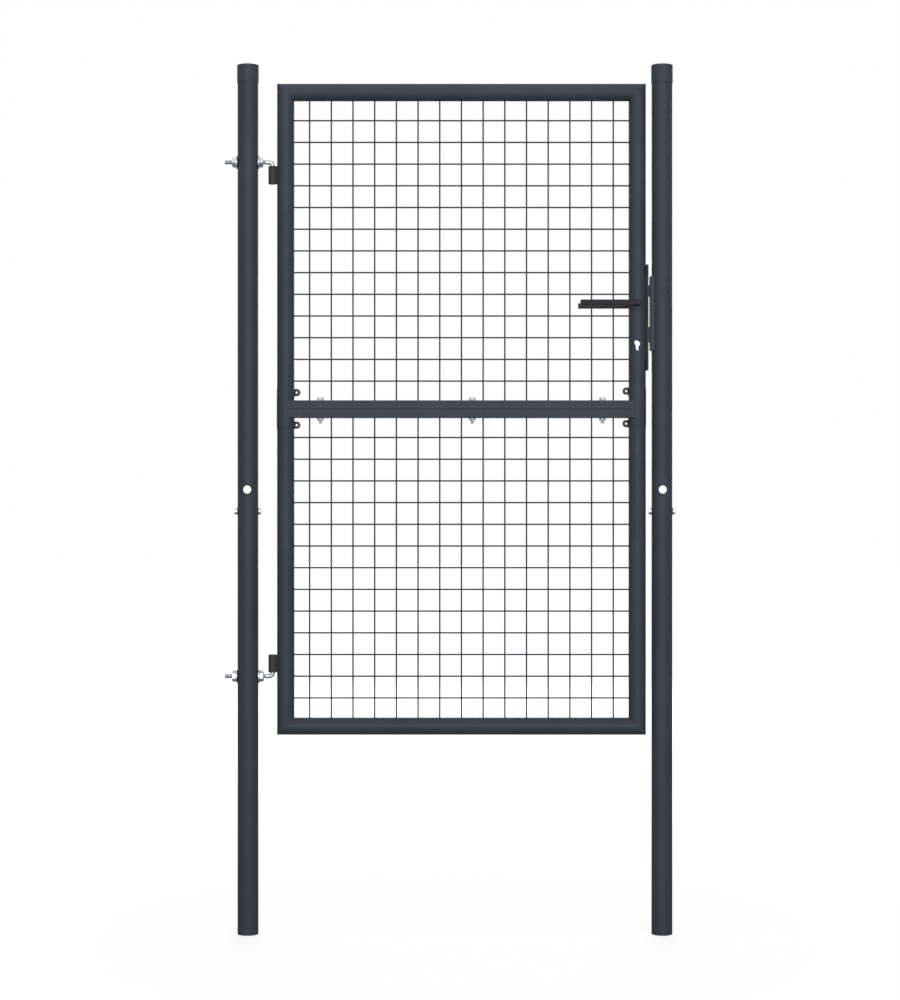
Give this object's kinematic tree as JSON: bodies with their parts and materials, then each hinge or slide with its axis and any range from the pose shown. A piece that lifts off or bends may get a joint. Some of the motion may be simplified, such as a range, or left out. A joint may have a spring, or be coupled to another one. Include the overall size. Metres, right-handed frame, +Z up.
{
  "type": "swing gate",
  "caption": "Garden gate: a round-tube leaf with welded wire mesh swings on two hinge bolts between two capped tube posts, with a lever handle and a mortise lock.",
  "frame": {"origin": "centre of the hinge post's foot, on the ground", "axes": "+X from the hinge post to the latch post, +Y towards the back of the gate, +Z up"},
  "size_m": [1.038, 0.1092, 2.002],
  "materials": {
    "anthracite_paint": "satin",
    "zinc_plate": "satin",
    "black_metal": "satin",
    "bolt_steel": "satin"
  },
  "bodies": {
    "posts": {"hinge_post_lower": "anthracite_paint", "hinge_post_upper": "anthracite_paint", "hinge_post_coupling": "anthracite_paint", "hinge_post_cap": "anthracite_paint", "latch_post_lower": "anthracite_paint", "latch_post_upper": "anthracite_paint", "latch_post_coupling": "anthracite_paint", "latch_post_cap": "anthracite_paint", "post_bolts": "zinc_plate", "strike": "anthracite_paint", "top_hinge_bolt": "zinc_plate", "bottom_hinge_bolt": "zinc_plate", "hinge_nuts": "zinc_plate", "hinge_washers": "zinc_plate"},
    "leaf": {"hinge_stile_upper": "anthracite_paint", "hinge_stile_lower": "anthracite_paint", "latch_stile_upper": "anthracite_paint", "latch_stile_lower": "anthracite_paint", "top_rail": "anthracite_paint", "bottom_rail": "anthracite_paint", "upper_middle_rail": "anthracite_paint", "lower_middle_rail": "anthracite_paint", "middle_rail_bolts": "zinc_plate", "upper_mesh": "anthracite_paint", "lower_mesh": "anthracite_paint", "top_barrel": "black_metal", "bottom_barrel": "black_metal", "hinge_stile_clamp": "anthracite_paint", "latch_stile_clamp": "anthracite_paint", "lock_case": "black_metal", "forend": "anthracite_paint"},
    "handle": {"front_lever": "black_metal", "rear_lever": "black_metal", "spindle": "zinc_plate"},
    "latch_bolt": {"latch_bolt": "bolt_steel"},
    "deadbolt": {"deadbolt": "bolt_steel"}
  },
  "joints": [
    {"name": "leaf_swing", "type": "hinge", "parent": "posts", "child": "leaf", "pos_m": [0.057, 0, 0], "axis": [0, 0, -1], "range_deg": [0, 90]},
    {"name": "lever_turn", "type": "hinge", "parent": "leaf", "child": "handle", "pos_m": [0.897, 0, 1.4515], "axis": [0, -1, 0], "range_deg": [0, 40], "stiffness_Nm_per_rad": 0.8, "springref_deg": -28.65},
    {"name": "latch_slide", "type": "slide", "parent": "leaf", "child": "latch_bolt", "axis": [-1, 0, 0], "range_m": [0, 0.011]},
    {"name": "deadbolt_slide", "type": "slide", "parent": "leaf", "child": "deadbolt", "axis": [-1, 0, 0], "range_m": [0, 0.012]}
  ],
  "couplings": [
    {"joint": "latch_slide", "follows": "lever_turn", "m_per_rad": 0.01575}
  ]
}
